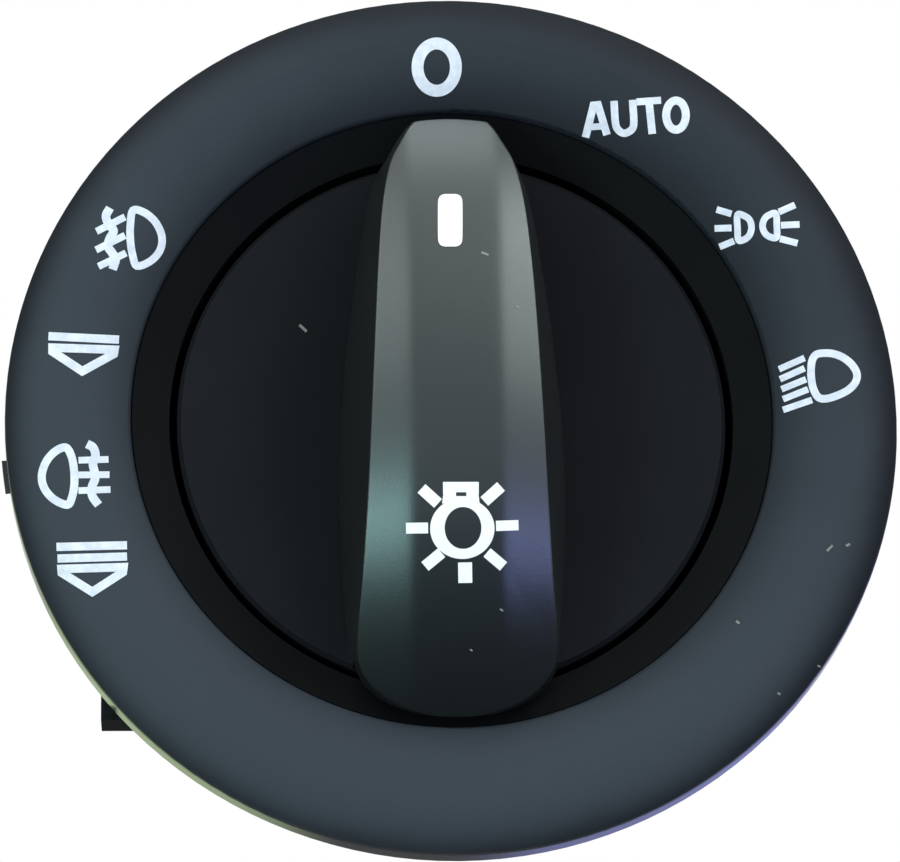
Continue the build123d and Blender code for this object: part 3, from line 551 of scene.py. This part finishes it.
lacquer = finish(
    "charcoal_lacquer",
    {
        "Specular IOR Level": 1.0,
        "Specular Tint": (0.84, 0.98, 1.0, 1.0),
        "Coat Weight": 0.3,
        "Coat Roughness": 0.35,
    },
    lacquer_skin,
)
grip = as_object("grip_bar", grip_mesh(), lacquer)
edge_round = grip.modifiers.new("edge_round", "BEVEL")
edge_round.limit_method = "WEIGHT"
edge_round.width = edge_round_size * MM
edge_round.segments = 4
cut_section = [(undercut_radius, -undercut_height), (40.0, -undercut_height), (40.0, 5.0),
               (undercut_radius, 5.0)]
end_cut = spun("end_cut", cut_section, lacquer, 192)
undercut = grip.modifiers.new("undercut", "BOOLEAN")
undercut.operation = "DIFFERENCE"
undercut.solver = "EXACT"
undercut.object = end_cut
settle(grip)
bpy.data.objects.remove(end_cut)
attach(grip, "knob")
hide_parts("knob_grip")

# Pointer. A white translucent insert let into the crown near the bar's narrow end, moulded
# with round corners and standing a hair proud of the lacquer.


def window_skin(wire):
    cloud = wire.noise(1.5, 2.0)
    return {
        "Base Color": cloud.blend((0.86, 0.88, 0.88), (0.95, 0.96, 0.96)),
        "Roughness": 0.3 + cloud * 0.1,
    }


def strip(rows, lanes=4):
    """Quads between rows, each of which runs from its left to its right end."""
    lines = [
        [Vector(left).lerp(Vector(right), lane / lanes) for lane in range(lanes + 1)]
        for left, right in rows
    ]
    return [
        (here[lane], here[lane + 1], there[lane + 1], there[lane])
        for here, there in zip(lines, lines[1:])
        for lane in range(lanes)
    ]


def laid(name, patches, face, body, material, proud=0.03, sunk=0.03):
    """Closed pieces that lie on a face where the picture shows their patches of quads."""
    shell = bmesh.new()
    for patch in patches:
        corners = {}
        sheet = []
        for quad in patch:
            loop = []
            for point in quad:
                key = (round(point[0], 2), round(point[1], 2))
                if key not in corners:
                    place = seen(point[0], point[1], face)
                    depth = -(face(place.x, place.y) + proud)
                    corners[key] = shell.verts.new(Vector((place.x, depth, place.y)) * MM)
                loop.append(corners[key])
            if len(set(loop)) == 4:
                sheet.append(shell.faces.new(loop))
        open_edges = [edge for edge in {e for f in sheet for e in f.edges} if edge.is_boundary]
        under = bmesh.ops.duplicate(shell, geom=sheet)["vert_map"]
        for vert in corners.values():
            under[vert].co.y += (proud + sunk) * MM
        for edge in open_edges:
            a, b = edge.verts
            shell.faces.new((a, b, under[b], under[a]))
    bmesh.ops.recalc_face_normals(shell, faces=shell.faces)
    made = as_object(name, shell, material)
    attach(made, body)
    return made


window_white = finish("white_window", {}, window_skin)
pointer_x, pointer_y = 450.2, 220.4
pointer_rows = []
for x, y in ((5.5, 26.2), (8.6, 25.4), (10.7, 23.6), (11.9, 20.8), (12.2, 17.0), (12.3, 8.0)):
    pointer_rows.append(((pointer_x - x, pointer_y - y), (pointer_x + x, pointer_y - y)))
pointer_rows += [
    ((x, 2 * pointer_y - y), (u, 2 * pointer_y - y)) for (x, y), (u, _) in reversed(pointer_rows)
]
pointer = laid(
    "pointer_insert",
    [strip(pointer_rows)],
    crown_height_at,
    "knob",
    window_white,
    proud=0.05,
    sunk=0.6,
)
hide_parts("indicator_window")

# Marks on the bezel. Pad-printed white ink, a little thin at its edges: the off mark, AUTO,
# the side, dipped and fog lamp signs, and the two signs for pulling the knob out.
rim_height = 2.0
crown_rise = 3.0
inner_fall = 1.5
inner_reach = 6.2


def bezel_height_at(x, z):
    """Height of the bezel's face: a quarter ellipse outside its crown, a soft arc inside it."""
    past = hypot(x, z) - crown_ring_radius
    if past >= 0:
        share = past / (rim_radius - crown_ring_radius)
        return rim_height + crown_rise * sqrt(max(0.0, 1 - share**2))
    dip = (inner_reach**2 + inner_fall**2) / (2 * inner_fall)
    return rim_height + crown_rise - dip + sqrt(dip**2 - past**2)


def stroke(points, width, closed=False, curved=False, step=4.0):
    """A band of print along a run of points of the picture, as quads across its width."""
    curve_steps = 5
    sharpest = 0.5
    run = [Vector(point) for point in points]
    if curved:
        ends = run if closed else [run[0] * 2 - run[1], *run, run[-1] * 2 - run[-2]]
        run = smooth_line(ends, curve_steps)
        if not closed:
            run = run[curve_steps : 1 - 2 * curve_steps]
    if closed:
        run.append(run[0])
    fine = []
    for a, b in zip(run, run[1:]):
        pieces = max(1, round((b - a).length / step))
        fine += [a.lerp(b, share / pieces) for share in range(pieces)]
    if not closed:
        fine.append(run[-1])
    total = len(fine)
    sides = []
    for index, point in enumerate(fine):
        before = fine[index - 1] if closed or index else point * 2 - fine[1]
        after = fine[(index + 1) % total] if closed or index < total - 1 else point * 2 - before
        one = (point - before).normalized()
        two = (after - point).normalized()
        along = (one + two).normalized()
        across = Vector((-along.y, along.x))
        spread = width / 2 / max(sharpest, across.dot(Vector((-two.y, two.x))))
        sides.append((point - across * spread, point + across * spread))
    if closed:
        sides.append(sides[0])
    return strip(sides, 2)


def oval(x, y, rx, ry, start=0.0, end=360.0, count=40):
    """Points on an oval in the picture, clockwise from its right end."""
    last = count if end - start >= 360.0 else count + 1
    turns = [radians(start + (end - start) * step / count) for step in range(last)]
    return [(x + rx * cos(turn), y + ry * sin(turn)) for turn in turns]


def ink_skin(thin, full):
    def skin(wire):
        cloud = wire.noise(0.9, 3.0, 0.6)
        return {
            "Base Color": cloud.between(0.3, 0.75).blend(thin, full),
            "Roughness": 0.5 + cloud * 0.2,
        }

    return skin


bezel_ink = finish(
    "bezel_ink", {"Specular IOR Level": 0.3}, ink_skin((0.60, 0.65, 0.74), (0.76, 0.80, 0.88))
)
bezel_marks = {
    "mark_off": [stroke(oval(436.7, 67.2, 19.2, 23.7), 11.8, True)],
    "mark_auto": [
        stroke([(585.5, 137.5), (593.5, 105.5), (598.0, 105.0), (607.0, 135.0)], 7.6),
        stroke([(588.5, 127.3), (603.0, 126.3)], 6.4),
        stroke([(614.0, 101.0), (615.3, 122.0), (617.5, 129.0), (622.5, 133.0), (627.5, 132.5),
                (632.5, 128.5), (633.8, 121.0), (632.5, 100.0)], 7.4, False, True),
        stroke([(636.5, 102.0), (661.0, 100.3)], 7.0),
        stroke([(649.0, 102.0), (652.3, 134.0)], 7.6),
        stroke(oval(676.0, 115.2, 9.8, 14.6), 8.0, True),
    ],
    "mark_side_lights": [
        stroke([(737.5, 215.0), (744.0, 215.8), (749.5, 220.0), (751.5, 227.5), (749.5, 235.0),
                (744.5, 239.5), (738.5, 240.0), (737.5, 228.0)], 6.6, True, True),
        stroke([(775.8, 214.0), (769.5, 214.8), (764.5, 219.0), (762.5, 226.0), (764.8, 233.0),
                (770.0, 237.0), (776.5, 237.3), (776.8, 226.0)], 6.6, True, True),
        stroke([(716.5, 209.5), (731.5, 214.0)], 6.6),
        stroke([(714.5, 228.5), (731.5, 228.0)], 6.6),
        stroke([(719.5, 247.0), (734.0, 241.0)], 6.6),
        stroke([(779.0, 212.0), (795.0, 205.0)], 6.6),
        stroke([(781.0, 225.3), (799.5, 224.5)], 6.6),
        stroke([(780.0, 238.8), (797.5, 243.3)], 6.6),
    ],
    "mark_dipped_beam": [
        stroke([(816.0, 354.8), (824.0, 353.2), (834.0, 354.0), (844.0, 358.2), (852.5, 365.5),
                (857.0, 374.5), (855.0, 383.0), (847.5, 390.5), (836.0, 396.0), (826.0, 398.8),
                (818.5, 397.5), (813.8, 390.0), (811.6, 381.0), (811.0, 371.0), (812.0, 361.0)],
               7.6, True, True),
    ]
    + [
        stroke([(x, y), (u, v)], 6.4)
        for x, y, u, v in (
            (779.0, 369.3, 804.5, 358.0),
            (780.0, 379.3, 804.5, 368.3),
            (781.5, 389.3, 806.0, 379.3),
            (783.0, 399.3, 808.0, 389.3),
            (783.0, 410.0, 812.0, 400.0),
        )
    ],
    "mark_front_fog": [
        stroke([(133.0, 210.5), (144.0, 212.5), (154.5, 221.0), (160.8, 232.5), (162.0, 243.0),
                (158.5, 253.0), (149.5, 261.8), (137.0, 266.0), (132.8, 256.0), (130.5, 242.0),
                (130.3, 226.0)], 7.6, True, True),
        stroke([(110.0, 208.0), (106.0, 216.0), (108.5, 224.0), (113.5, 231.0), (109.5, 239.0),
                (108.0, 246.5), (112.5, 253.5), (115.5, 260.0), (112.5, 269.5)], 8.6, False, True),
        stroke([(96.5, 231.5), (112.0, 223.5), (125.0, 217.0)], 7.0),
        stroke([(96.0, 250.0), (112.0, 242.0), (125.0, 235.5)], 7.0),
        stroke([(98.5, 266.5), (112.0, 260.0), (126.0, 253.0)], 7.0),
    ],
    "mark_rear_fog": [
        stroke([(65.5, 447.5), (71.3, 456.0), (74.0, 470.0), (74.3, 485.0), (72.0, 497.0),
                (67.5, 504.8), (54.5, 499.8), (45.0, 489.5), (41.7, 477.0), (45.5, 463.0),
                (54.5, 452.0)], 8.0, True, True),
        stroke([(87.0, 444.0), (93.0, 447.5), (95.5, 455.0), (93.0, 464.0), (94.5, 472.0),
                (95.0, 479.0), (92.0, 487.0), (92.3, 496.0), (98.5, 505.0)], 8.6, False, True),
        stroke([(78.5, 460.3), (108.5, 459.5)], 6.6),
        stroke([(78.5, 475.0), (109.5, 474.7)], 6.6),
        stroke([(78.5, 490.7), (110.5, 489.6)], 6.6),
    ],
    "mark_pull_one": [
        stroke([(48.5, 336.2), (119.0, 339.7)], 8.2),
        stroke([(52.5, 347.7), (114.5, 349.8), (113.8, 354.0), (82.2, 371.3), (52.5, 351.6)],
               8.4, True),
    ],
    "mark_pull_two": [
        stroke([(56.5, 547.0), (127.0, 545.3)], 8.2),
        stroke([(57.5, 558.6), (127.0, 556.6)], 8.2),
        stroke([(61.5, 569.0), (123.5, 567.2), (122.8, 572.3), (92.3, 592.0), (61.8, 572.8)],
               8.4, True),
    ],
}
for name, patches in bezel_marks.items():
    laid(name, patches, bezel_height_at, "root", bezel_ink)

# Bulb sign on the grip. Pad-printed on the crown near the bar's wide end, in a denser white ink
# than on the bezel: a ring with a cap and seven rays.
grip_ink = finish(
    "grip_ink", {"Specular IOR Level": 0.3}, ink_skin((0.88, 0.89, 0.90), (0.94, 0.95, 0.96))
)
inside = oval(463.0, 528.0, 18.4, 21.0, 0, 359.99, 64)
outside = oval(462.3, 528.6, 32.2, 30.4, 0, 359.99, 64)
bulb = [
    strip(list(zip(inside, outside)), 3),
    strip([((443.0, 482.0), (478.8, 482.0)), ((443.0, 492.3), (478.8, 492.3))], 8),
    strip([((443.0, 492.3), (456.0, 492.3)), ((443.3, 496.2), (456.0, 496.2))], 3),
    strip([((466.3, 492.3), (478.8, 492.3)), ((466.3, 496.2), (478.6, 496.2))], 3),
    strip([((443.0, 496.2), (478.8, 496.2)), ((442.0, 503.5), (479.5, 503.5))], 8),
]
for x, y, u, v, width in (
    (406.0, 528.3, 428.0, 528.0, 10.8),
    (496.0, 526.0, 518.5, 525.2, 10.2),
    (421.5, 488.5, 438.0, 503.5, 11.6),
    (484.3, 501.5, 501.0, 486.5, 11.6),
    (425.0, 566.5, 441.5, 552.8, 11.4),
    (487.0, 552.5, 503.5, 566.5, 11.0),
    (465.0, 562.5, 465.3, 583.0, 14.0),
):
    bulb.append(stroke([(x, y), (u, v)], width))
laid("mark_lamp", bulb, crown_height_at, "knob", grip_ink)

# Lint. A few pale fibres and specks of dust that lie loose on the bezel, the disc and the bar,
# where a cloth would leave them.
disc_edge_height = 1.5
dish_depth = 1.8
dish_reach = 23.05


def disc_height_at(x, z):
    """Height of the hollowed disc, by distance from the knob's axis."""
    curve = (dish_reach**2 + dish_depth**2) / (2 * dish_depth)
    return disc_edge_height - dish_depth + curve - sqrt(curve**2 - x**2 - z**2)


def lint_skin(wire):
    cloud = wire.noise(0.2, 2.0)
    return {
        "Base Color": cloud.blend((0.14, 0.14, 0.14), (0.30, 0.30, 0.29)),
        "Roughness": 0.7 + cloud * 0.2,
    }


lint = finish("lint", {}, lint_skin)
for name, face, body, slot, specks in (
    ("lint_on_disc", disc_height_at, "knob", "disc_plastic",
     ((299.5, 325.0, 306.5, 331.5, 2.6),)),
    ("lint_on_grip", crown_height_at, "knob", "grip_lacquer",
     ((481.5, 252.5, 488.5, 255.0, 2.2), (516.0, 306.0, 519.0, 308.0, 1.6),
      (500.0, 609.0, 503.0, 611.0, 1.8), (470.0, 649.5, 472.5, 651.0, 1.6))),
    ("lint_on_bezel", bezel_height_at, "root", "bezel_plastic",
     ((736.0, 621.0, 739.5, 623.5, 2.2), (777.5, 693.0, 780.5, 694.5, 2.0),
      (817.5, 665.5, 820.5, 667.0, 1.8), (827.0, 551.0, 832.5, 545.5, 2.2),
      (846.0, 546.0, 850.0, 544.0, 2.4))),
):
    laid(name, [stroke([(x, y), (u, v)], width) for x, y, u, v, width in specks], face, body,
         lint)

# Studio. A pale floor well below. Soft boxes and higher lamps stand on both sides in front, one
# lamp above, and two small tinted ones low down, whose glow lies on the grip bar. The world is
# white behind the object and dim around it, and tints what only the rim's wall reflects.
floor_height = -0.2
floor_half_width = 4.0


def stage_skin(wire):
    cloud = wire.noise(60.0, 2.0)
    return {
        "Base Color": cloud.blend((0.78, 0.78, 0.77), (0.82, 0.82, 0.81)),
        "Roughness": 0.8 + cloud * 0.1,
    }


shell = bmesh.new()
bmesh.ops.create_grid(shell, x_segments=2, y_segments=2, size=floor_half_width)
floor = as_object("floor", shell, finish("floor_paint", {}, stage_skin))
floor.location = (0, 0, floor_height)
floor.visible_glossy = False

world = bpy.data.worlds.new("studio")
bpy.context.scene.world = world
world.use_nodes = True
sky = Wire(world.node_tree)
towards = sky.node("TexCoord")
across, back, rise = (sky.node("SeparateXYZ", {}, {0: towards}, axis) for axis in range(3))
right_share = across.between(0.25, 0.6) * 0.75
left_share = (0 - across).between(0.25, 0.6) * 0.45
low_light = rise.between(-0.42, -0.1) * (right_share + left_share + 1) * 0.46
high_light = rise.between(0.35, 1.0) * 0.4
front = 1 - back.between(-0.25, 0.2)
front_least = 0.02
behind_level = 0.14
level = front * (low_light + high_light + front_least) + (1 - front) * behind_level


def facing(x, y, z):
    """How nearly a ray runs the way (x, y, z): 1 where it runs just that way."""
    return across * x + back * y + rise * z


backdrop = facing(0.039, 0.956, 0.292).between(0.965, 0.988)
level = level * (1 - backdrop) + backdrop
plain = level.blend((0.0, 0.0, 0.0), (1.0, 1.0, 1.0))
camera_ray = sky.node("LightPath")
beside = (1 - backdrop) * (1 - camera_ray)
green_side = facing(-0.40, 0.91, -0.04).between(0.93, 0.975) * beside
violet_side = facing(0.36, 0.93, -0.1).between(0.94, 0.98) * beside
tinted = violet_side.blend(green_side.blend(plain, (0.80, 1.0, 0.62)), (0.42, 0.45, 0.90))
background = world.node_tree.nodes["Background"]
world.node_tree.links.new(tinted.socket, background.inputs["Color"])

for name, place, size, power, colour in (
    ("left_box", (-0.40, -0.46, 0.38), 0.42, 1.0, (0.97, 1.0, 0.98)),
    ("right_box", (0.40, -0.46, 0.38), 0.42, 1.35, (0.98, 1.0, 0.95)),
    ("left_high", (-0.33, -0.24, 0.56), 0.22, 0.3, (0.97, 1.0, 0.98)),
    ("right_high", (0.33, -0.24, 0.56), 0.22, 0.75, (0.98, 1.0, 0.93)),
    ("top_lamp", (0.0, 0.0, 0.6), 0.20, 0.34, (0.94, 1.0, 1.0)),
    ("left_lamp", (-0.27, -0.40, -0.15), 0.12, 0.75, (0.62, 1.0, 0.98)),
    ("right_lamp", (0.27, -0.40, -0.21), 0.14, 0.75, (0.42, 0.45, 1.0)),
):
    light = bpy.data.lights.new(name, "AREA")
    light.shape = "SQUARE"
    light.size = size
    light.energy = power
    light.color = colour
    made = bpy.data.objects.new(name, light)
    bpy.context.scene.collection.objects.link(made)
    made.location = place
    made.rotation_euler = (-Vector(place)).to_track_quat("-Z", "Y").to_euler()
